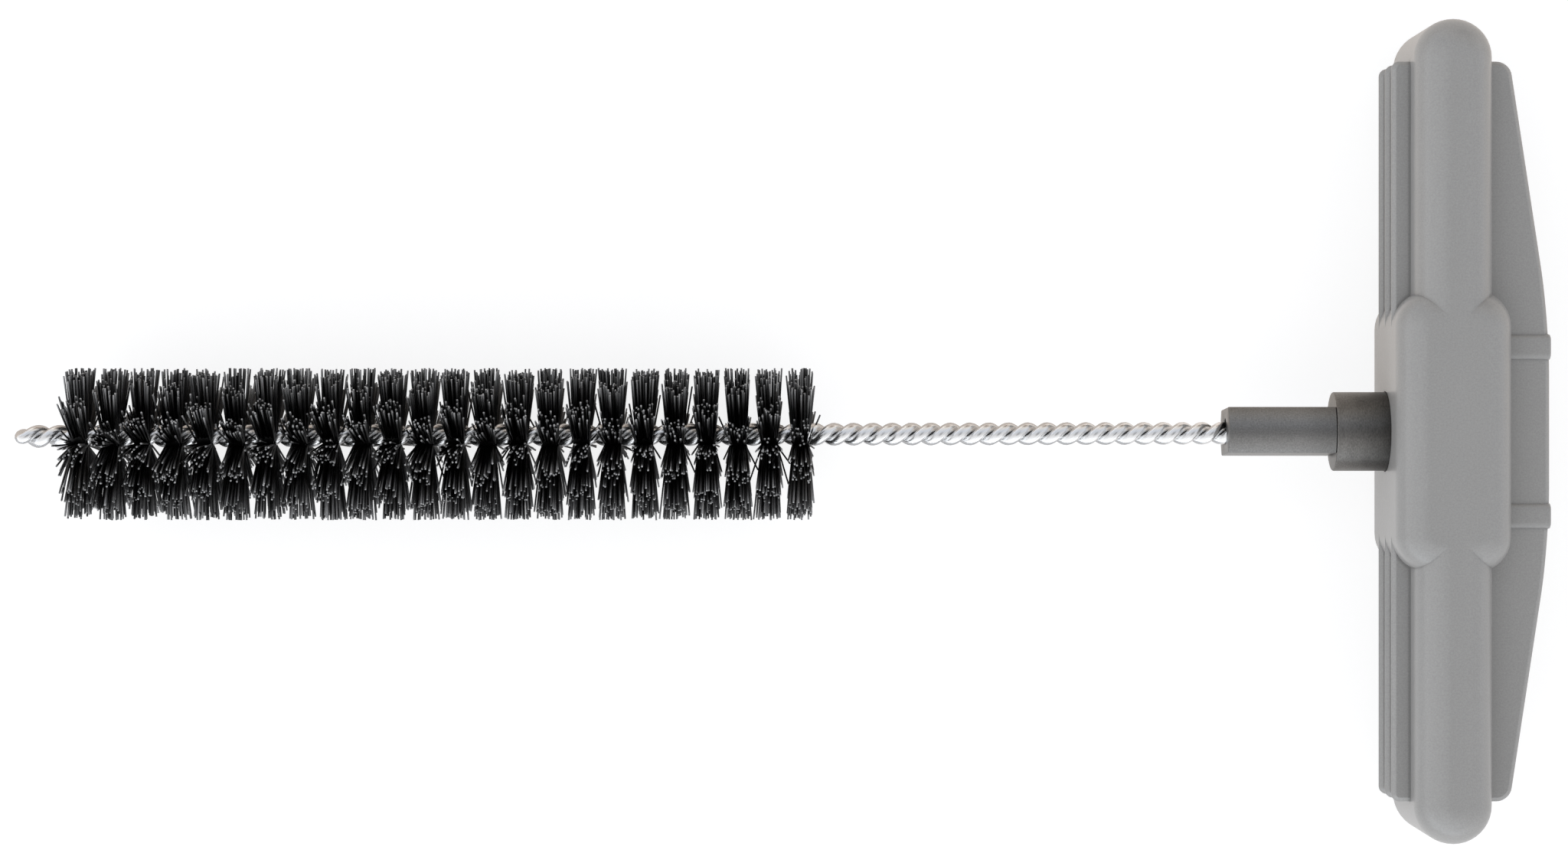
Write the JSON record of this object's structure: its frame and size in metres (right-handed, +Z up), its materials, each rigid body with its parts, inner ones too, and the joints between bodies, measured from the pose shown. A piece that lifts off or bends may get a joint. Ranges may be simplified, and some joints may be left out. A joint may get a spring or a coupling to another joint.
{
  "type": "drill hole cleaning brush",
  "caption": "T-handle brush that cleans drilled holes: moulded grip, metal shank with two flats, twisted wire stem and round rows of nylon bristles.",
  "frame": {"origin": "under the middle of the tool's box, on the surface that the handle's underside lies on", "axes": "+X from the wire's tip to the handle, +Y along the grip bar, +Z up from the surface that the tool lies on"},
  "size_m": [0.1994, 0.106, 0.0248],
  "materials": {
    "grip_plastic": "fine moulded grain, mid grey",
    "ferrule_metal": "dark, fine-grained, satin",
    "collar_metal": "darker, fine-grained, satin",
    "wire": "bright drawn wire",
    "bristles": "black nylon filament, grey cut tips"
  },
  "bodies": {
    "root": {"handle": "grip_plastic", "ferrule": "ferrule_metal", "collar": "collar_metal", "stem_wire": "wire", "bristle_row_01": "bristles", "bristle_row_02": "bristles", "bristle_row_03": "bristles", "bristle_row_04": "bristles", "bristle_row_05": "bristles", "bristle_row_06": "bristles", "bristle_row_07": "bristles", "bristle_row_08": "bristles", "bristle_row_09": "bristles", "bristle_row_10": "bristles", "bristle_row_11": "bristles", "bristle_row_12": "bristles", "bristle_row_13": "bristles", "bristle_row_14": "bristles", "bristle_row_15": "bristles", "bristle_row_16": "bristles", "bristle_row_17": "bristles", "bristle_row_18": "bristles", "bristle_row_19": "bristles", "bristle_row_20": "bristles", "bristle_row_21": "bristles", "bristle_row_22": "bristles", "bristle_row_23": "bristles", "bristle_row_24": "bristles"}
  },
  "joints": []
}
